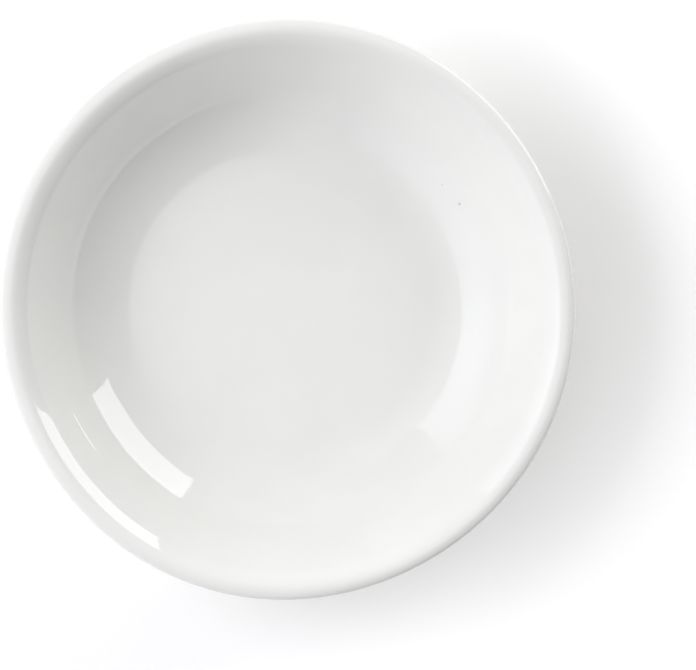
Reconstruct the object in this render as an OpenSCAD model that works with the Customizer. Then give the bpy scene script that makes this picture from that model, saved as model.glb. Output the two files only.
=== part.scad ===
// Soy sauce dish: a small round coupe of plain white glazed porcelain on a foot ring.
// All lengths are in millimetres. The foot stands on z = 0 and the dish turns about +Z.
// The fired body is one pressed piece. Its glaze stops short of the foot, which is wiped bare.

/* [Rim] */
// Widest diameter, over the lip
rim_diameter = 96; // [84:1:120]
// Radius of the lip's rounding towards the well
lip_inner_radius = 2.7; // [2.1:0.1:3.4]
// Radius of the crest, from the lip's highest ring out to its edge
lip_crest_radius = 3; // [2.4:0.1:4]
// Radius of the lip's outer edge
lip_edge_radius = 0.75; // [0.6:0.05:1]

/* [Bowl] */
// Depth of the well below the lip's crest
well_depth = 14.5; // [12.5:0.1:18]
// Slope of the steepest stretch of the wall, in degrees
wall_slope = 48; // [40:1:54]
// Radius of the flare between the wall and the lip
flare_radius = 7.5; // [6:0.1:9.5]
// Radius of the hollow corner between the well's floor and the wall
corner_radius = 18.4; // [14:0.1:22]
// Thickness of the wall, glaze included
wall_thickness = 3; // [2.4:0.1:3.8]
// Thickness of the base under the well's floor, glaze included
base_thickness = 3.5; // [2.8:0.1:5]

/* [Foot ring] */
// Height of the ring, from the table to the recess under the base
foot_height = 3; // [2.4:0.1:4.5]
// Width of the ring at the table, before its edges are rounded
foot_width = 3; // [2.4:0.1:4]
// Room between this foot and the well of a like dish that it stands in
stacking_clearance = 0.6; // [0.3:0.1:1.5]
// Lean of the ring's two sides from upright, in degrees
foot_draft = 12; // [5:1:18]
// Rounding of the ring's two lower edges
foot_edge_radius = 0.5; // [0.3:0.05:0.7]
// Radius of the hollow between the ring and the wall outside it
foot_outer_fillet = 1.6; // [1.2:0.1:2.4]
// Radius of the hollow between the ring and the recess inside it
foot_inner_fillet = 1.2; // [0.8:0.1:1.8]

/* [Glaze] */
// Thickness of the glaze
glaze_thickness = 0.3; // [0.2:0.02:0.4]
// Height of the bare band that is wiped clean round the foot
bare_band = 0.8; // [0.6:0.05:1.2]

/* [Hidden] */

$fn = 120;

// Widest gap between an arc and the straight line from one of its points to the next
arc_gap = 0.008;
// Distance under which two points count as one
same_place = 0.001;
// Bearing at which the crest gives way to the outer edge
crest_end = 19;
// Slope at which the flare gives way to the lip's inner rounding
lip_slope = 29;

body_colour = [0.93, 0.925, 0.9];
glaze_colour = [0.97, 0.97, 0.96];

// A bearing turns from straight up, 0, to straight out, 90, and straight down, 180
function bearing(b) = [sin(b), cos(b)];
function bearing_of(v) = atan2(v.x, v.y);

// Points along an arc, from one bearing to another as seen from its centre
function arc(centre, radius, from, to) =
    let (turn = 2 * acos(1 - arc_gap / radius))
    let (parts = max(1, ceil(abs(to - from) / turn)))
    [for (k = [0 : parts]) centre + radius * bearing(from + (to - from) * k / parts)];

// One list of points without the second of two that lie in one place
function outline(points) =
    [for (k = [0 : len(points) - 1]) if (k == 0 || norm(points[k] - points[k - 1]) > same_place) points[k]];

// The same list of points, from its last to its first
function reversed(points) = [for (k = [len(points) - 1 : -1 : 0]) points[k]];

// Heights
floor_z = foot_height + base_thickness;
crest_z = floor_z + well_depth;

// Lip: its highest ring lies inside the widest one by the reach of the crest and the edge
rim_radius = rim_diameter / 2;
edge_reach = (lip_crest_radius - lip_edge_radius) * sin(crest_end) + lip_edge_radius;
lip_centre_r = rim_radius - edge_reach;
lip_inner_centre = [lip_centre_r, crest_z - lip_inner_radius];
lip_crest_centre = [lip_centre_r, crest_z - lip_crest_radius];
lip_edge_centre = lip_crest_centre + (lip_crest_radius - lip_edge_radius) * bearing(crest_end);

// Flare, tangent to the lip's inner rounding where the surface has the lip's slope
flare_centre = lip_inner_centre + (lip_inner_radius - flare_radius) * bearing(-lip_slope);
flare_foot = flare_centre + flare_radius * bearing(-wall_slope);

// Hollow corner, tangent to the floor and to the straight stretch below the flare
corner_top_z = floor_z + corner_radius * (1 - cos(wall_slope));
corner_top_r = flare_foot.x - (flare_foot.y - corner_top_z) / tan(wall_slope);
well_radius = corner_top_r - corner_radius * sin(wall_slope);
corner_centre = [well_radius, floor_z + corner_radius];

// Outer face of the lip: the arc that joins its edge to the outside of the flare
outer_flare_radius = flare_radius - wall_thickness;
edge_tip = lip_edge_centre + [lip_edge_radius, 0] - flare_centre;
face_radius = (edge_tip * edge_tip - outer_flare_radius * outer_flare_radius)
    / (2 * (edge_tip.x + outer_flare_radius));
face_centre = lip_edge_centre + [lip_edge_radius - face_radius, 0];
face_end = bearing_of(face_centre - flare_centre);

// Foot ring: it fits the well of a like dish with the stacking clearance
foot_radius = well_radius - stacking_clearance;
foot_inner_radius = foot_radius - foot_width;
outer_side = [sin(foot_draft), cos(foot_draft)];
outer_normal = [cos(foot_draft), -sin(foot_draft)];
inner_side = [-sin(foot_draft), cos(foot_draft)];
inner_normal = [-cos(foot_draft), -sin(foot_draft)];

// Hollow outside the ring, tangent to the ring's side and to the outside of the corner
outer_corner_radius = corner_radius + wall_thickness;
hollow_start = [foot_radius, 0] + foot_outer_fillet * outer_normal - corner_centre;
hollow_reach = outer_corner_radius + foot_outer_fillet;
hollow_along = hollow_start * outer_side;
hollow_rise = -hollow_along
    - sqrt(hollow_along * hollow_along - hollow_start * hollow_start + hollow_reach * hollow_reach);
hollow_centre = corner_centre + hollow_start + hollow_rise * outer_side;
hollow_bearing = bearing_of(hollow_centre - corner_centre);

// Hollow inside the ring, tangent to the ring's side and to the recess under the base
recess_centre_z = foot_height - foot_inner_fillet;
recess_rise = (recess_centre_z + foot_inner_fillet * sin(foot_draft)) / cos(foot_draft);
recess_centre = [foot_inner_radius, 0] + foot_inner_fillet * inner_normal + recess_rise * inner_side;

// A point on a side of the ring, sunk below the glazed surface and some way up from the table
function ring_point(foot, normal, side, sunk, up) =
    foot - sunk * normal + (up + sunk * normal.y) / side.y * side;

// The whole upper and outer surface, from the axis to the top of the bare band
function upper_surface(sunk) = concat(
    [[0, floor_z - sunk]],
    arc(corner_centre, corner_radius + sunk, 180, 180 - wall_slope),
    arc(flare_centre, flare_radius - sunk, -wall_slope, -lip_slope),
    arc(lip_inner_centre, lip_inner_radius - sunk, -lip_slope, 0),
    arc(lip_crest_centre, lip_crest_radius - sunk, 0, crest_end),
    arc(lip_edge_centre, lip_edge_radius - sunk, crest_end, 90),
    arc(face_centre, face_radius - sunk, 90, 180 + face_end),
    arc(flare_centre, outer_flare_radius + sunk, face_end, -wall_slope),
    arc(corner_centre, outer_corner_radius - sunk, 180 - wall_slope, hollow_bearing),
    arc(hollow_centre, foot_outer_fillet + sunk, hollow_bearing - 180, foot_draft - 90),
    [ring_point([foot_radius, 0], outer_normal, outer_side, sunk, bare_band + glaze_thickness - sunk)]
);

// The surface under the base, from the top of the bare band inside the ring to the axis
function lower_surface(sunk) = concat(
    [ring_point([foot_inner_radius, 0], inner_normal, inner_side, sunk, bare_band + glaze_thickness - sunk)],
    arc(recess_centre, foot_inner_fillet + sunk, 90 - foot_draft, 0),
    [[0, foot_height + sunk]]
);

// The bare edge of the ring: a flat band on the table between two rounded edges
function bare_foot() =
    let (outer_foot = [foot_radius, 0] - glaze_thickness * outer_normal)
    let (inner_foot = [foot_inner_radius, 0] - glaze_thickness * inner_normal)
    let (outer_up = (foot_edge_radius * (1 + outer_normal.y) - outer_foot.y) / outer_side.y)
    let (inner_up = (foot_edge_radius * (1 + inner_normal.y) - inner_foot.y) / inner_side.y)
    let (outer_edge = outer_foot - foot_edge_radius * outer_normal + outer_up * outer_side)
    let (inner_edge = inner_foot - foot_edge_radius * inner_normal + inner_up * inner_side)
    concat(
        arc(outer_edge, foot_edge_radius, 90 + foot_draft, 180),
        arc(inner_edge, foot_edge_radius, 180, 270 - foot_draft)
    );

// Fired clay: floor, wall, lip and foot ring in one piece, just under the glaze
module porcelain_body() {
    color(body_colour)
        rotate_extrude()
            polygon(outline(concat(upper_surface(glaze_thickness), bare_foot(), lower_surface(glaze_thickness))));
}

// Glaze over the well, the wall, the lip and the outside, down to the bare band
module glaze_coat() {
    color(glaze_colour)
        rotate_extrude()
            polygon(outline(concat(upper_surface(0), reversed(upper_surface(glaze_thickness)))));
}

// Glaze inside the foot ring, cut off from the coat by the bare foot
module base_glaze() {
    color(glaze_colour)
        rotate_extrude()
            polygon(outline(concat(lower_surface(0), reversed(lower_surface(glaze_thickness)))));
}

porcelain_body();
glaze_coat();
base_glaze();
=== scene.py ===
# Looks of the soy sauce dish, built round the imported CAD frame.
# Shapes are worked out in millimetres from the same named values as the CAD source,
# and turned into metres when a mesh is made. Azimuth 0 is +X and 90 is +Y.
import math

import bpy
import numpy as np
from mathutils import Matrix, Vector, noise


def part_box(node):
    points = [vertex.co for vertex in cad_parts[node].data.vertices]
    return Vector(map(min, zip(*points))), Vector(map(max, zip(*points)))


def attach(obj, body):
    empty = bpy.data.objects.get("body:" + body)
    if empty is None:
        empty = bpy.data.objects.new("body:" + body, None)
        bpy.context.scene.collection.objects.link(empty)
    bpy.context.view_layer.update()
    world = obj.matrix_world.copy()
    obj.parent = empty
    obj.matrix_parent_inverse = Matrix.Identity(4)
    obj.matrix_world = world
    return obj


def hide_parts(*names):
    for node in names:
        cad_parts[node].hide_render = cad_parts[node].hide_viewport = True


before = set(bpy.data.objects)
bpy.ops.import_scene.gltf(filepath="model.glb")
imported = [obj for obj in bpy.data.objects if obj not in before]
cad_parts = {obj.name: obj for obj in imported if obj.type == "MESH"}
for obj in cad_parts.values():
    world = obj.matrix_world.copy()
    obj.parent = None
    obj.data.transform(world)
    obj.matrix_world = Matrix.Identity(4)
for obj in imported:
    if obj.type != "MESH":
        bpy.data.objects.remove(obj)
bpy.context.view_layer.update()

MM = 0.001

# Shape of the dish, as in the CAD source
coat_low, coat_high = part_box("glaze_coat")
RIM_RADIUS = (coat_high.x - coat_low.x) / 2 / MM
CREST_Z = coat_high.z / MM
LIP_INNER_RADIUS = 2.7
LIP_CREST_RADIUS = 3.0
LIP_EDGE_RADIUS = 0.75
CREST_END = 19.0
LIP_SLOPE = 29.0
WELL_DEPTH = 14.5
WALL_SLOPE = 48.0
FLARE_RADIUS = 7.5
CORNER_RADIUS = 18.4
WALL_THICKNESS = 3.0
FOOT_HEIGHT = 3.0
FOOT_WIDTH = 3.0
STACKING_CLEARANCE = 0.6
FOOT_DRAFT = 12.0
FOOT_EDGE_RADIUS = 0.5
FOOT_OUTER_FILLET = 1.6
FOOT_INNER_FILLET = 1.2
GLAZE_THICKNESS = 0.3
BARE_BAND = 0.8

# What the kiln did to the shape, in mm. It is nothing up to one radius and full from the other one on.
# Waves round the rim are given by their order, size and the azimuth of a peak.
RIM_SHRINK = 0.4
OUT_OF_ROUND = ((2, 0.22, 90.0), (3, 0.07, 20.0), (4, 0.13, -18.0))
RIM_LIFT = ((2, 0.05, 35.0), (3, 0.03, 80.0))
RIM_DROP = 0.1
WARP_FROM = 22.0
WARP_TO = 46.0

# Uneven glaze: length and height of each ripple in mm, and a shift that keeps the three apart
RIPPLES = ((17.0, 0.034, (0, 0, 0)), (7.5, 0.011, (40, 0, 0)), (2.6, 0.0012, (0, 80, 0)))
WELL_RIPPLE = 1.0
BASE_RIPPLE = 0.5

# Glaze edge at the foot: its bead and round nose in mm, and its wander by order, size in mm and phase.
# Above the height where the wander begins, the points slide with it less and less.
BEAD_HEIGHT = 0.06
BEAD_WIDTH = 0.7
NOSE_LENGTH = 0.35
EDGE_WANDER = ((3, 0.07, 0.6), (7, 0.05, 2.1), (16, 0.03, 0.9), (37, 0.015, 0.0))
WANDER_FROM = 1.2

# Fineness of the meshes: segments round the axis, steps in mm, the longest step as a share of
# an arc's radius, and parts of the glaze's side and nose
SEGMENTS = 256
FINE_STEP = 0.3
HIDDEN_STEP = 1.2
FOOT_STEP = 0.08
RECESS_STEP = 0.15
ARC_SHARE = 0.12
SIDE_PARTS = 8
NOSE_PARTS = 7
# Points nearer than this are one, and a ring this small is a point on the axis, both in mm
SAME_PLACE = 0.001
ON_AXIS = 1e-9
# Edges sharper than this many degrees are shaded as edges
SHARP_ANGLE = 60.0


def bearing(angle):
    """Unit vector (out, up): 0 points up, 90 out from the axis, 180 down."""
    turn = math.radians(angle)
    return np.array([math.sin(turn), math.cos(turn)])


def bearing_of(v):
    return math.degrees(math.atan2(v[0], v[1]))


def arc(centre, radius, start, end, step):
    """Points along an arc in the section, from one bearing to another."""
    length = abs(math.radians(end - start)) * radius
    parts = max(3, math.ceil(length / step))
    return [centre + radius * bearing(b) for b in np.linspace(start, end, parts + 1)]


def line(start, end, step):
    """Points along a straight stretch, without its last one."""
    parts = max(1, math.ceil(np.linalg.norm(end - start) / step))
    return [start + (end - start) * k / parts for k in range(parts)]


# Section of the dish: the same arcs as in the CAD source
FLOOR_Z = CREST_Z - WELL_DEPTH
LIP_R = RIM_RADIUS - LIP_EDGE_RADIUS - (LIP_CREST_RADIUS - LIP_EDGE_RADIUS) * bearing(CREST_END)[0]
LIP_INNER_CENTRE = np.array([LIP_R, CREST_Z - LIP_INNER_RADIUS])
LIP_CREST_CENTRE = np.array([LIP_R, CREST_Z - LIP_CREST_RADIUS])
LIP_EDGE_CENTRE = LIP_CREST_CENTRE + (LIP_CREST_RADIUS - LIP_EDGE_RADIUS) * bearing(CREST_END)
FLARE_CENTRE = LIP_INNER_CENTRE + (LIP_INNER_RADIUS - FLARE_RADIUS) * bearing(-LIP_SLOPE)
FLARE_FOOT = FLARE_CENTRE + FLARE_RADIUS * bearing(-WALL_SLOPE)
CORNER_TOP_Z = FLOOR_Z + CORNER_RADIUS * (1 - math.cos(math.radians(WALL_SLOPE)))
CORNER_TOP_R = FLARE_FOOT[0] - (FLARE_FOOT[1] - CORNER_TOP_Z) / math.tan(math.radians(WALL_SLOPE))
WELL_RADIUS = CORNER_TOP_R - CORNER_RADIUS * math.sin(math.radians(WALL_SLOPE))
CORNER_CENTRE = np.array([WELL_RADIUS, FLOOR_Z + CORNER_RADIUS])

OUTER_FLARE_RADIUS = FLARE_RADIUS - WALL_THICKNESS
EDGE_TIP = LIP_EDGE_CENTRE + [LIP_EDGE_RADIUS, 0] - FLARE_CENTRE
FACE_RADIUS = (EDGE_TIP @ EDGE_TIP - OUTER_FLARE_RADIUS ** 2) / (2 * (EDGE_TIP[0] + OUTER_FLARE_RADIUS))
FACE_CENTRE = LIP_EDGE_CENTRE + [LIP_EDGE_RADIUS - FACE_RADIUS, 0]
FACE_END = bearing_of(FACE_CENTRE - FLARE_CENTRE)

FOOT_RADIUS = WELL_RADIUS - STACKING_CLEARANCE
FOOT_INNER_RADIUS = FOOT_RADIUS - FOOT_WIDTH
DRAFT = math.radians(FOOT_DRAFT)
OUTER_SIDE = np.array([math.sin(DRAFT), math.cos(DRAFT)])
OUTER_NORMAL = np.array([math.cos(DRAFT), -math.sin(DRAFT)])
INNER_SIDE = OUTER_SIDE * [-1, 1]
INNER_NORMAL = OUTER_NORMAL * [-1, 1]

OUTER_CORNER_RADIUS = CORNER_RADIUS + WALL_THICKNESS
HOLLOW_START = np.array([FOOT_RADIUS, 0]) + FOOT_OUTER_FILLET * OUTER_NORMAL - CORNER_CENTRE
HOLLOW_REACH = OUTER_CORNER_RADIUS + FOOT_OUTER_FILLET
HOLLOW_ALONG = HOLLOW_START @ OUTER_SIDE
HOLLOW_RISE = -HOLLOW_ALONG - math.sqrt(HOLLOW_ALONG ** 2 - HOLLOW_START @ HOLLOW_START + HOLLOW_REACH ** 2)
HOLLOW_CENTRE = CORNER_CENTRE + HOLLOW_START + HOLLOW_RISE * OUTER_SIDE
HOLLOW_BEARING = bearing_of(HOLLOW_CENTRE - CORNER_CENTRE)

RECESS_Z = FOOT_HEIGHT - FOOT_INNER_FILLET
RECESS_RISE = (RECESS_Z + FOOT_INNER_FILLET * math.sin(DRAFT)) / math.cos(DRAFT)
RECESS_START = np.array([FOOT_INNER_RADIUS, 0]) + FOOT_INNER_FILLET * INNER_NORMAL
RECESS_CENTRE = RECESS_START + RECESS_RISE * INNER_SIDE


def upper_arcs(sunk, step):
    """The well, wall, lip and outside, from the axis to the hollow above the foot."""
    floor = line(np.array([0, FLOOR_Z - sunk]), np.array([WELL_RADIUS, FLOOR_Z - sunk]), 3 * step)
    arcs = (
        (CORNER_CENTRE, CORNER_RADIUS + sunk, 180, 180 - WALL_SLOPE),
        (FLARE_CENTRE, FLARE_RADIUS - sunk, -WALL_SLOPE, -LIP_SLOPE),
        (LIP_INNER_CENTRE, LIP_INNER_RADIUS - sunk, -LIP_SLOPE, 0),
        (LIP_CREST_CENTRE, LIP_CREST_RADIUS - sunk, 0, CREST_END),
        (LIP_EDGE_CENTRE, LIP_EDGE_RADIUS - sunk, CREST_END, 90),
        (FACE_CENTRE, FACE_RADIUS - sunk, 90, 180 + FACE_END),
        (FLARE_CENTRE, OUTER_FLARE_RADIUS + sunk, FACE_END, -WALL_SLOPE),
        (CORNER_CENTRE, OUTER_CORNER_RADIUS - sunk, 180 - WALL_SLOPE, HOLLOW_BEARING),
        (HOLLOW_CENTRE, FOOT_OUTER_FILLET + sunk, HOLLOW_BEARING - 180, FOOT_DRAFT - 90),
    )
    points = floor
    for centre, radius, start, end in arcs:
        points += arc(centre, radius, start, end, min(step, ARC_SHARE * radius))
    return points


def lower_arcs(sunk, step):
    """The surface under the base, from the ring's inner side to the axis."""
    hollow = arc(RECESS_CENTRE, FOOT_INNER_FILLET + sunk, 90 - FOOT_DRAFT, 0, min(step, RECESS_STEP))
    edge = hollow.pop()
    middle = np.array([0, FOOT_HEIGHT + sunk])
    return hollow + line(edge, middle, 3 * step) + [middle]


def glazed_side(top, normal, side):
    """Glaze down a side of the ring: its face, a bead, and a round nose that ends on the clay."""
    foot = top - side * (top[1] / side[1])
    clay = foot - GLAZE_THICKNESS * normal
    contact = clay + side * (BARE_BAND - clay[1]) / side[1]
    reach = (top - GLAZE_THICKNESS * normal - contact) @ side
    points = []
    for s in np.linspace(reach, NOSE_LENGTH, SIDE_PARTS + 1)[1:]:
        bead = 0.5 + 0.5 * math.cos(math.pi * min(1, (s - NOSE_LENGTH) / BEAD_WIDTH))
        points.append(contact + side * s + normal * (GLAZE_THICKNESS + BEAD_HEIGHT * bead))
    for phi in np.linspace(90, 0, NOSE_PARTS + 1)[1:]:
        out = (GLAZE_THICKNESS + BEAD_HEIGHT) * math.sin(math.radians(phi))
        along = NOSE_LENGTH * (1 - math.cos(math.radians(phi)))
        points.append(contact + side * along + normal * out)
    return points


def bare_foot(step):
    """The bare edge of the ring: a flat band between two rounded edges."""
    outer = np.array([FOOT_RADIUS, 0]) - GLAZE_THICKNESS * OUTER_NORMAL
    inner = np.array([FOOT_INNER_RADIUS, 0]) - GLAZE_THICKNESS * INNER_NORMAL
    outer_up = (FOOT_EDGE_RADIUS * (1 + OUTER_NORMAL[1]) - outer[1]) / OUTER_SIDE[1]
    inner_up = (FOOT_EDGE_RADIUS * (1 + INNER_NORMAL[1]) - inner[1]) / INNER_SIDE[1]
    outer_edge = outer - FOOT_EDGE_RADIUS * OUTER_NORMAL + outer_up * OUTER_SIDE
    inner_edge = inner - FOOT_EDGE_RADIUS * INNER_NORMAL + inner_up * INNER_SIDE
    first = arc(outer_edge, FOOT_EDGE_RADIUS, 90 + FOOT_DRAFT, 180, step)
    last = arc(inner_edge, FOOT_EDGE_RADIUS, 180, 270 - FOOT_DRAFT, step)
    return first + line(first[-1], last[0], 3 * step)[1:] + last


class Section:
    """An outline to turn about the axis, with each point's share of the ripple and its slide."""

    def __init__(self):
        self.points = []
        self.slides = []
        self.free = []

    def add(self, points, free=0.0, side=None, fixed=None):
        """free is the share of the ripple that the points take. side is the way in which they slide
        with the wavy glaze edge, and fixed is the height where that ends."""
        for p in points:
            slide = np.zeros(2)
            if side is not None:
                slide = side * np.clip((fixed - p[1]) / (fixed - WANDER_FROM), 0, 1)
            if self.points and np.linalg.norm(p - self.points[-1]) < SAME_PLACE:
                continue
            self.points.append(np.array(p, float))
            self.slides.append(slide)
            self.free.append(free)
        return self


def smooth(x, low, high):
    t = np.clip((x - low) / (high - low), 0, 1)
    return t * t * (3 - 2 * t)


def wave(terms, azimuth):
    return sum(size * np.cos(order * (azimuth - math.radians(peak))) for order, size, peak in terms)


def glaze_edge_wander(azimuth):
    """How far the glaze edge strays along the side of the ring, in mm."""
    return sum(size * np.sin(order * azimuth + phase) for order, size, phase in EDGE_WANDER)


def ripple(place):
    """Slow unevenness of the glaze along its normal, in mm, at a place in mm."""
    return sum(height * noise.noise(place / length + Vector(shift)) for length, height, shift in RIPPLES)


def turn_mesh(name, section):
    """Turns a section about the axis into one closed mesh, with the kiln's warp in it."""
    points = np.array(section.points)
    slides = np.array(section.slides)
    free = np.array(section.free)
    along = np.gradient(points, axis=0)
    normals = np.stack([-along[:, 1], along[:, 0]], 1)
    normals /= np.linalg.norm(normals, axis=1)[:, None]
    verts = []
    rings = []
    for k, (r, z) in enumerate(points):
        count = 1 if r < ON_AXIS else SEGMENTS
        rings.append((len(verts), count))
        for i in range(count):
            a = 2 * math.pi * i / SEGMENTS
            slide = slides[k] * glaze_edge_wander(a)
            warp = smooth(r, WARP_FROM, WARP_TO)
            lift = warp * (wave(RIM_LIFT, a) - RIM_DROP)
            out = warp * (wave(OUT_OF_ROUND, a) - RIM_SHRINK)
            stray = 0.0
            if free[k] > 0:
                stray = free[k] * ripple(Vector((r * math.cos(a), r * math.sin(a), z)))
            radius = r + out + slide[0] + stray * normals[k][0] if count > 1 else 0.0
            height = z + lift + slide[1] + stray * normals[k][1]
            verts.append((radius * math.cos(a) * MM, radius * math.sin(a) * MM, height * MM))
    faces = []
    pairs = list(zip(rings[:-1], rings[1:]))
    if rings[0][1] > 1:
        pairs.append((rings[-1], rings[0]))
    for (first, n1), (second, n2) in pairs:
        if n1 == 1 and n2 == 1:
            continue
        for i in range(SEGMENTS):
            j = (i + 1) % SEGMENTS
            if n1 == 1:
                faces.append((first, second + i, second + j))
            elif n2 == 1:
                faces.append((first + i, second, first + j))
            else:
                faces.append((first + i, second + i, second + j, first + j))
    mesh = bpy.data.meshes.new(name)
    mesh.from_pydata(verts, [], faces)
    mesh.update()
    mesh.polygons.foreach_set("use_smooth", [True] * len(mesh.polygons))
    mesh.set_sharp_from_angle(angle=math.radians(SHARP_ANGLE))
    piece = bpy.data.objects.new(name, mesh)
    bpy.context.scene.collection.objects.link(piece)
    return piece


def glaze_surface():
    outer = upper_arcs(0, FINE_STEP)
    inner = upper_arcs(GLAZE_THICKNESS, HIDDEN_STEP)
    top = outer[-1]
    section = Section()
    section.add(outer, free=WELL_RIPPLE)
    section.add(glazed_side(top, OUTER_NORMAL, OUTER_SIDE), side=OUTER_SIDE, fixed=top[1])
    section.add(reversed(inner))
    return turn_mesh("glaze_surface", section)


def base_glaze_surface():
    outer = lower_arcs(0, FINE_STEP)
    inner = lower_arcs(GLAZE_THICKNESS, HIDDEN_STEP)
    top = outer[0]
    side = glazed_side(top, INNER_NORMAL, INNER_SIDE)
    section = Section()
    section.add(reversed(inner))
    section.add(reversed(side), side=INNER_SIDE, fixed=top[1])
    section.add(outer, free=BASE_RIPPLE)
    return turn_mesh("base_glaze_surface", section)


def fired_body():
    section = Section()
    section.add(upper_arcs(GLAZE_THICKNESS, HIDDEN_STEP))
    section.add(bare_foot(FOOT_STEP))
    section.add(lower_arcs(GLAZE_THICKNESS, HIDDEN_STEP))
    return turn_mesh("fired_body", section)


class Nodes:
    """Short way to add nodes to a tree and link them."""

    def __init__(self, tree):
        self.tree = tree
        self.tree.nodes.clear()

    def add(self, kind, inputs=None, **settings):
        node = self.tree.nodes.new(kind)
        for key, value in settings.items():
            setattr(node, key, value)
        for key, value in (inputs or {}).items():
            if isinstance(value, bpy.types.NodeSocket):
                self.tree.links.new(value, node.inputs[key])
            else:
                node.inputs[key].default_value = value
        return node

    def math(self, operation, a, b=0.0, c=0.0):
        return self.add("ShaderNodeMath", {0: a, 1: b, 2: c}, operation=operation).outputs[0]

    def remap(self, value, low, high, to_low, to_high):
        inputs = {"Value": value, "From Min": low, "From Max": high, "To Min": to_low, "To Max": to_high}
        return self.add("ShaderNodeMapRange", inputs).outputs[0]

    def grain(self, place, scale, detail=3.0, roughness=0.55):
        inputs = {"Vector": place, "Scale": scale, "Detail": detail, "Roughness": roughness}
        return self.add("ShaderNodeTexNoise", inputs).outputs["Fac"]

    def steps(self, value, stops):
        """A line through (place, height) stops."""
        total = stops[0][1]
        for (x0, y0), (x1, y1) in zip(stops[:-1], stops[1:]):
            total = self.math("ADD", self.remap(value, x0, x1, 0.0, y1 - y0), total)
        return total

    def mix(self, factor, a, b):
        return self.add("ShaderNodeMix", {0: factor, 6: a, 7: b}, data_type="RGBA").outputs[2]

    def vector(self, operation, a, b=(0, 0, 0)):
        return self.add("ShaderNodeVectorMath", {0: a, 1: b}, operation=operation).outputs

    def level(self, place):
        """The place with its height taken out."""
        return self.vector("MULTIPLY", place, (1, 1, 0))[0]

    def along_axes(self, place):
        return self.add("ShaderNodeSeparateXYZ", {0: place}).outputs


def colour(r, g, b):
    return (r, g, b, 1.0)


def new_material(name):
    """An empty material and its nodes."""
    material = bpy.data.materials.new(name)
    material.use_nodes = True
    return material, Nodes(material.node_tree)


GLAZE = colour(0.778, 0.772, 0.742)
GLAZE_CLOUD = colour(0.76, 0.755, 0.727)
IRON_SPECK = colour(0.43, 0.40, 0.36)
FAINT_SPECK = colour(0.55, 0.53, 0.49)
CLAY = colour(0.80, 0.775, 0.72)
CLAY_FLASH = colour(0.77, 0.70, 0.60)
CLAY_WORN = colour(0.55, 0.53, 0.50)

# Specks that the glaze carries in fixed places: x, y and diameter in mm, and whether it is dark
NAMED_SPECKS = (
    (28.7, 17.6, 0.4, True),
    (25.8, 20.8, 0.28, False),
    (-30.5, 13.3, 0.18, False),
    (-31.5, 1.8, 0.14, False),
)
# Share of a named speck's diameter at which it begins to fade, and at which it has faded
NAMED_FADE = (0.2, 0.65)
# Strewn specks: cells per metre, share of the cells that hold one, and radius in metres.
# They have faded at this many times their radius.
STREWN_SPECKS = {"dark": (95.0, 0.016, 0.00010), "faint": (190.0, 0.03, 0.00009)}
STREWN_FADE = 1.7
# How much of the glaze's colour a speck covers
DARK_COVER = 0.9
FAINT_COVER = 0.75

# Refractive index of the glaze and of the clay, and their lowest and highest roughness
GLAZE_IOR = 1.6
GLAZE_GLOSS = (0.015, 0.035)
CLAY_IOR = 1.5
CLAY_GLOSS = (0.72, 0.88)

# Relief in the skin of the glaze, in mm
SKIN_RISE = 0.006
SWELL_RISE = 0.018
PIT_RISE = 0.02
RING_RISE = 0.012

# Fineness of the noise, per metre, and how far it moves the turning rings, in mm
CLOUD_GRAIN = 70.0
GLOSS_GRAIN = 240.0
SKIN_GRAIN = 700.0
SWELL_GRAIN = 210.0
RING_GRAIN = 900.0
DRIFT_GRAIN = 60.0
RING_DRIFT = 1.2
PATCH_GRAIN = 300.0
CLAY_GRAIN = 2600.0

# Heights on the bare clay, in mm: where the tan flash begins and is full and how uneven its edge is,
# up to where the foot is rubbed grey and where that ends, and how deep the clay's own grain is
FLASH_FROM = 0.5
FLASH_TO = 1.0
FLASH_UNEVEN = 0.4
RUBBED_TO = 0.03
RUBBED_END = 0.14
CLAY_RISE = 0.06

# A low ridge in the wall of the bowl, in mm and degrees
RIDGE_AZIMUTH = 211.5
RIDGE_HALF_SPAN = 11.0
RIDGE_RADIUS = 39.3
RIDGE_HALF_WIDTH = 0.2
RIDGE_HEIGHT_FROM = 13.2
RIDGE_RISE = 0.023


def speck_masks(n, place):
    """Sparse round specks: one mask for the dark ones and one for the faint ones."""
    masks = {}
    for key, (per_metre, share, size) in STREWN_SPECKS.items():
        cells = n.add("ShaderNodeTexVoronoi", {"Vector": place, "Scale": per_metre, "Randomness": 1.0})
        near = n.remap(cells.outputs["Distance"], size * per_metre, STREWN_FADE * size * per_metre,
                       1.0, 0.0)
        chosen = n.add("ShaderNodeSeparateColor", {0: cells.outputs["Color"]}).outputs[0]
        masks[key] = n.math("MULTIPLY", near, n.math("LESS_THAN", chosen, share))
    for x, y, size, dark in NAMED_SPECKS:
        gap = n.vector("DISTANCE", n.level(place), (x * MM, y * MM, 0))["Value"]
        spot = n.remap(gap, NAMED_FADE[0] * size * MM, NAMED_FADE[1] * size * MM, 1.0, 0.0)
        key = "dark" if dark else "faint"
        masks[key] = n.math("MAXIMUM", masks[key], spot)
    return masks["dark"], masks["faint"]


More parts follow.
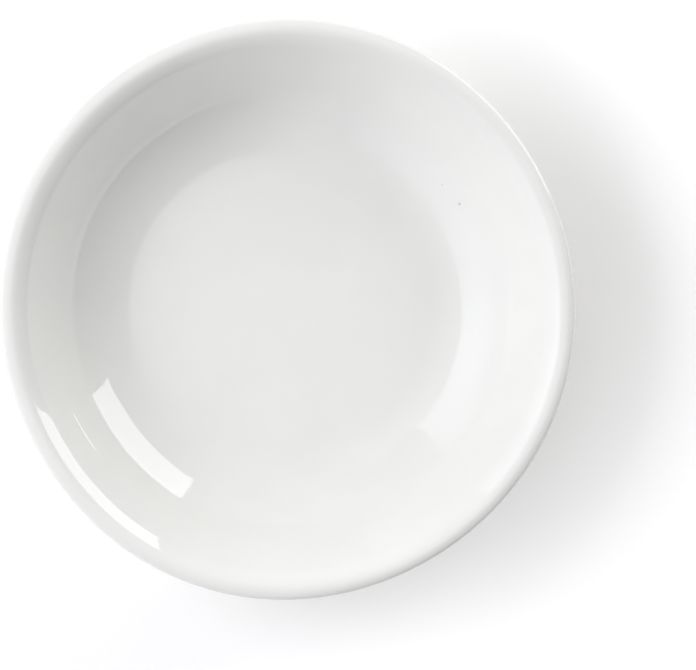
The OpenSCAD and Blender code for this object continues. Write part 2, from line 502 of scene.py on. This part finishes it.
def wall_ridge(n, place):
    """A low ridge on a short stretch of the wall, which catches the key light as a thin line."""
    flat = n.level(place)
    radius = n.vector("LENGTH", flat)["Value"]
    unit = n.vector("NORMALIZE", flat)[0]
    turn = math.radians(RIDGE_AZIMUTH)
    ahead = n.vector("DOT_PRODUCT", unit, (math.cos(turn), math.sin(turn), 0))["Value"]
    stretch = n.remap(ahead, math.cos(math.radians(RIDGE_HALF_SPAN)), 1.0, 0.0, 1.0)
    off = n.math("ABSOLUTE", n.math("SUBTRACT", radius, RIDGE_RADIUS * MM))
    crest = n.remap(off, 0.0, RIDGE_HALF_WIDTH * MM, 1.0, 0.0)
    inside = n.math("GREATER_THAN", n.along_axes(place)[2], RIDGE_HEIGHT_FROM * MM)
    return n.math("MULTIPLY", n.math("MULTIPLY", crest, stretch), inside)


def wheel_rings(n, place, per_metre):
    """Faint rings about the axis, as the turning tool leaves them."""
    radius = n.vector("LENGTH", n.level(place))["Value"]
    drift = n.math("MULTIPLY", n.grain(place, DRIFT_GRAIN, 1.0), RING_DRIFT * MM)
    inward = n.add("ShaderNodeCombineXYZ", {0: n.math("ADD", radius, drift)}).outputs[0]
    return n.grain(inward, per_metre, 2.0)


def white_glaze(name, rings):
    """Glossy feldspar glaze: near white, slightly warm, with a skin a little uneven."""
    material, n = new_material(name)
    place = n.add("ShaderNodeTexCoord").outputs["Object"]
    clouds = n.grain(place, CLOUD_GRAIN, 2.0)
    tint = n.mix(n.remap(clouds, 0.35, 0.65, 0.0, 1.0), GLAZE, GLAZE_CLOUD)
    dark, faint = speck_masks(n, place)
    tint = n.mix(n.math("MULTIPLY", faint, FAINT_COVER), tint, FAINT_SPECK)
    tint = n.mix(n.math("MULTIPLY", dark, DARK_COVER), tint, IRON_SPECK)
    gloss = n.remap(n.grain(place, GLOSS_GRAIN, 3.0), 0.3, 0.7, *GLAZE_GLOSS)
    skin = n.math("MULTIPLY", n.grain(place, SKIN_GRAIN, 2.0, 0.5), SKIN_RISE * MM)
    swell = n.math("MULTIPLY", n.grain(place, SWELL_GRAIN, 1.0, 0.4), SWELL_RISE * MM)
    pits = n.math("MULTIPLY", n.math("ADD", dark, faint), PIT_RISE * MM)
    if rings:
        special = n.math("MULTIPLY", wheel_rings(n, place, RING_GRAIN), RING_RISE * MM)
    else:
        special = n.math("MULTIPLY", wall_ridge(n, place), RIDGE_RISE * MM)
    relief = n.math("ADD", n.math("ADD", skin, swell), n.math("ADD", pits, special))
    bump = n.add("ShaderNodeBump", {"Strength": 1.0, "Distance": 1.0, "Height": relief})
    shader = n.add("ShaderNodeBsdfPrincipled", {"Base Color": tint, "Roughness": gloss, "IOR": GLAZE_IOR,
                                                "Normal": bump.outputs[0]})
    n.add("ShaderNodeOutputMaterial", {"Surface": shader.outputs[0]})
    return material


def bare_clay():
    """Unglazed fired clay: matte, fine grained, flashed tan by the glaze and rubbed grey below."""
    material, n = new_material("bare_clay")
    place = n.add("ShaderNodeTexCoord").outputs["Object"]
    height = n.along_axes(place)[2]
    patches = n.grain(place, PATCH_GRAIN, 4.0, 0.65)
    fine = n.grain(place, CLAY_GRAIN, 3.0, 0.7)
    uneven_height = n.math("ADD", height, n.math("MULTIPLY", patches, FLASH_UNEVEN * MM))
    tint = n.mix(n.remap(uneven_height, FLASH_FROM * MM, FLASH_TO * MM, 0.0, 0.8), CLAY, CLAY_FLASH)
    rubbed = n.math("MULTIPLY", n.remap(height, RUBBED_TO * MM, RUBBED_END * MM, 1.0, 0.0),
                    n.remap(patches, 0.46, 0.62, 0.0, 0.5))
    tint = n.mix(rubbed, tint, CLAY_WORN)
    tint = n.mix(n.remap(fine, 0.62, 0.75, 0.0, 0.35), tint, CLAY_WORN)
    gloss = n.remap(patches, 0.3, 0.7, *CLAY_GLOSS)
    bump = n.add("ShaderNodeBump", {"Strength": 0.6, "Distance": CLAY_RISE * MM, "Height": fine})
    shader = n.add("ShaderNodeBsdfPrincipled", {"Base Color": tint, "Roughness": gloss, "IOR": CLAY_IOR,
                                                "Specular IOR Level": 0.35, "Normal": bump.outputs[0]})
    n.add("ShaderNodeOutputMaterial", {"Surface": shader.outputs[0]})
    return material


def dress(piece, node, material):
    piece.data.materials.append(material)
    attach(piece, "root")
    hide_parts(node)


# Studio: cards are placed by distance in mm, and by azimuth and elevation round the dish in degrees.
# Light is given so that 1 renders as white. MIRRORED is the share left to a lamp's mirror image.
CARD_STEP = 4.5
AIR_LIGHT = 0.703

# Key light: a flat softbox at the upper right
KEY = dict(azimuth=41.5, distance=1000.0, width=670.0, bottom=10.0, top=715.0, tilt=5.0, taper=42.0)
KEY_COLOUR = colour(0.99, 0.998, 1.022)
KEY_RADIANCE = 5.2
KEY_MIRRORED = 0.8

# Fill light: a curtain on the left, with its light above the air's as (place, light) across and up it
FILL = dict(azimuths=(137.5, 255.0), elevations=(10.0, 56.4), distance=1200.0)
FILL_COLOUR = colour(0.98, 0.99, 1.04)
FILL_MIRRORED = 0.42
FILL_ACROSS = ((0.0, 2.0), (0.12, 2.8), (0.24, 3.9), (0.36, 3.6), (0.5, 2.45), (0.62, 1.7), (0.75, 1.4),
               (0.92, 1.0), (1.0, 0.2))
FILL_UP = ((0.0, 0.0), (0.35, 0.65), (0.6, 0.97), (1.0, 1.07))

# Flags: dark cards, each with its felt and the shares of its width over which its two ends thin out
RIGHT_FLAG = dict(azimuths=(-96.0, 52.0), elevations=(0.0, 75.0), distance=1350.0)
RIGHT_THIN = (0.22, 0.42)
RIGHT_FELT = colour(0.02, 0.02, 0.02)
BACK_FLAG = dict(azimuths=(100.0, 137.5), elevations=(0.0, 57.0), distance=1350.0)
BACK_THIN = (0.75, 0.01)
BACK_FELT = colour(0.4, 0.4, 0.4)

# Table, in mm: as it lights the dish, and as it is seen, which turns plain white between two radii
TABLE = colour(0.9, 0.9, 0.89)
TABLE_SEEN = colour(1.0, 0.992, 0.978)
TABLE_LIFT = colour(0.085, 0.085, 0.085)
TABLE_RADIUS = 6000.0
TABLE_SIDES = 96
PLAIN_FROM = 120.0
PLAIN_TO = 300.0

# Camera, in mm: its place, and the width that it sees at the height of the rim
CAMERA = (10.08, -4.31, 720.0)
WIDTH_SEEN = 114.45
SENSOR_WIDTH = 36.0
CLIP_END = 10000.0


def seen_by_eye(n):
    """1 for rays from the camera or mirrored or bent on their way, and 0 for the rest."""
    rays = n.add("ShaderNodeLightPath").outputs
    return n.math("MAXIMUM", n.math("MAXIMUM", rays["Is Camera Ray"], rays["Is Glossy Ray"]),
                  rays["Is Transmission Ray"])


def mirrored_share(n, share):
    """1 for the light that a lamp sheds, and a smaller share for its mirror image in the glaze.
    It stands for the way in which a camera holds back its brightest lights."""
    mirrored = n.add("ShaderNodeLightPath").outputs["Is Glossy Ray"]
    return n.remap(mirrored, 0.0, 1.0, 1.0, share)


def stage_piece(name, mesh, material, seen):
    piece = bpy.data.objects.new(name, mesh)
    bpy.context.scene.collection.objects.link(piece)
    piece.data.materials.append(material)
    piece.visible_camera = seen
    return piece


def world_light():
    world = bpy.data.worlds.new("studio_air")
    world.use_nodes = True
    n = Nodes(world.node_tree)
    strength = n.remap(seen_by_eye(n), 0.0, 1.0, AIR_LIGHT, 1.0)
    air = n.add("ShaderNodeBackground", {"Color": colour(1, 1, 1), "Strength": strength})
    n.add("ShaderNodeOutputWorld", {"Surface": air.outputs[0]})
    bpy.context.scene.world = world


def floor():
    """A white table. The eye sees it a little over white near the dish, which keeps the dish's shadow,
    and plain white further off."""
    material, n = new_material("pale_table")
    paper = n.add("ShaderNodeBsdfDiffuse", {"Color": TABLE})
    white = n.add("ShaderNodeBsdfDiffuse", {"Color": TABLE_SEEN})
    lift = n.add("ShaderNodeBsdfDiffuse", {"Color": TABLE_LIFT})
    near = n.add("ShaderNodeAddShader", {0: white.outputs[0], 1: lift.outputs[0]})
    plain = n.add("ShaderNodeEmission", {"Color": colour(1, 1, 1), "Strength": 1.0})
    place = n.add("ShaderNodeTexCoord").outputs["Object"]
    far = n.remap(n.vector("LENGTH", place)["Value"], PLAIN_FROM * MM, PLAIN_TO * MM, 0.0, 1.0)
    shown = n.add("ShaderNodeMixShader", {0: far, 1: near.outputs[0], 2: plain.outputs[0]})
    both = n.add("ShaderNodeMixShader", {0: seen_by_eye(n), 1: paper.outputs[0], 2: shown.outputs[0]})
    n.add("ShaderNodeOutputMaterial", {"Surface": both.outputs[0]})
    mesh = bpy.data.meshes.new("table")
    ring = [(TABLE_RADIUS * MM * math.cos(a), TABLE_RADIUS * MM * math.sin(a), 0)
            for a in np.linspace(0, 2 * math.pi, TABLE_SIDES + 1)[:-1]]
    mesh.from_pydata(ring, [], [tuple(range(TABLE_SIDES))])
    stage_piece("table", mesh, material, True)


def flat_card(name, azimuth, distance, width, bottom, top, tilt, taper):
    """An upright card that faces the dish, leaning over it by tilt degrees. Lengths are in mm.
    Its lower edge is cut short on one side, by taper mm."""
    turn = math.radians(azimuth)
    lean = math.radians(tilt)
    out = Vector((math.cos(turn), math.sin(turn), 0))
    side = Vector((-math.sin(turn), math.cos(turn), 0)) * MM
    across = side * width
    rise = (Vector((0, 0, math.cos(lean))) - out * math.sin(lean)) * (top - bottom) * MM
    corner = out * distance * MM + Vector((0, 0, bottom * MM)) - across / 2
    corners = [corner + side * taper, corner + across, corner + across + rise, corner + rise]
    mesh = bpy.data.meshes.new(name)
    mesh.from_pydata([tuple(c) for c in corners], [], [(0, 1, 2, 3)])
    return mesh


def curved_card(name, azimuths, elevations, distance):
    """A card bent round the dish, from one azimuth and elevation to another, with its UV along the two."""
    across = max(3, round((azimuths[1] - azimuths[0]) / CARD_STEP))
    up = max(3, round((elevations[1] - elevations[0]) / CARD_STEP))
    verts = []
    spots = []
    for v in np.linspace(0, 1, up + 1):
        for u in np.linspace(0, 1, across + 1):
            a = math.radians(azimuths[0] + (azimuths[1] - azimuths[0]) * u)
            e = math.radians(elevations[0] + (elevations[1] - elevations[0]) * v)
            verts.append(Vector((math.cos(e) * math.cos(a), math.cos(e) * math.sin(a), math.sin(e)))
                         * distance * MM)
            spots.append((u, v))
    row = across + 1
    faces = [(k * row + i, k * row + i + 1, (k + 1) * row + i + 1, (k + 1) * row + i)
             for k in range(up) for i in range(across)]
    mesh = bpy.data.meshes.new(name)
    mesh.from_pydata([tuple(v) for v in verts], [], faces)
    layer = mesh.uv_layers.new(name="card")
    for loop in mesh.loops:
        layer.data[loop.index].uv = spots[loop.vertex_index]
    return mesh


def key_softbox():
    material, n = new_material("key_glow")
    strength = n.math("MULTIPLY", mirrored_share(n, KEY_MIRRORED), KEY_RADIANCE)
    glow = n.add("ShaderNodeEmission", {"Color": KEY_COLOUR, "Strength": strength})
    n.add("ShaderNodeOutputMaterial", {"Surface": glow.outputs[0]})
    stage_piece("key_softbox", flat_card("key_softbox", **KEY), material, False)


def fill_curtain():
    """A broad diffusing curtain, brighter than the air by an amount that fades across and down."""
    material, n = new_material("fill_glow")
    spot = n.along_axes(n.add("ShaderNodeTexCoord").outputs["UV"])
    extra = n.math("MULTIPLY", n.steps(spot[0], FILL_ACROSS), n.steps(spot[1], FILL_UP))
    extra = n.math("MULTIPLY", extra, mirrored_share(n, FILL_MIRRORED))
    glow = n.add("ShaderNodeEmission", {"Color": FILL_COLOUR, "Strength": n.math("ADD", extra, AIR_LIGHT)})
    n.add("ShaderNodeOutputMaterial", {"Surface": glow.outputs[0]})
    stage_piece("fill_curtain", curved_card("fill_curtain", **FILL), material, False)


def flag(name, place, felt, thin):
    """A dark curved card that keeps the air's light off one side. It thins out towards its two ends."""
    material, n = new_material(name + "_felt")
    cloth = n.add("ShaderNodeBsdfDiffuse", {"Color": felt})
    gaps = n.add("ShaderNodeBsdfTransparent")
    across = n.along_axes(n.add("ShaderNodeTexCoord").outputs["UV"])[0]
    dense = n.math("MINIMUM", n.remap(across, 0.0, thin[0], 0.0, 1.0),
                   n.remap(across, 1 - thin[1], 1.0, 1.0, 0.0))
    card = n.add("ShaderNodeMixShader", {0: dense, 1: gaps.outputs[0], 2: cloth.outputs[0]})
    n.add("ShaderNodeOutputMaterial", {"Surface": card.outputs[0]})
    stage_piece(name, curved_card(name, **place), material, False)


def camera():
    data = bpy.data.cameras.new("camera")
    piece = bpy.data.objects.new("camera", data)
    bpy.context.scene.collection.objects.link(piece)
    piece.location = [part * MM for part in CAMERA]
    data.sensor_fit = "HORIZONTAL"
    data.sensor_width = SENSOR_WIDTH
    data.lens = SENSOR_WIDTH * (CAMERA[2] - CREST_Z) / WIDTH_SEEN
    data.clip_end = CLIP_END * MM
    bpy.context.scene.camera = piece


def studio():
    bpy.context.scene.view_settings.view_transform = "Standard"
    world_light()
    floor()
    key_softbox()
    fill_curtain()
    flag("right_flag", RIGHT_FLAG, RIGHT_FELT, RIGHT_THIN)
    flag("back_flag", BACK_FLAG, BACK_FELT, BACK_THIN)
    camera()


dress(glaze_surface(), "glaze_coat", white_glaze("glaze", rings=False))
dress(base_glaze_surface(), "base_glaze", white_glaze("base_glaze", rings=True))
dress(fired_body(), "porcelain_body", bare_clay())
studio()
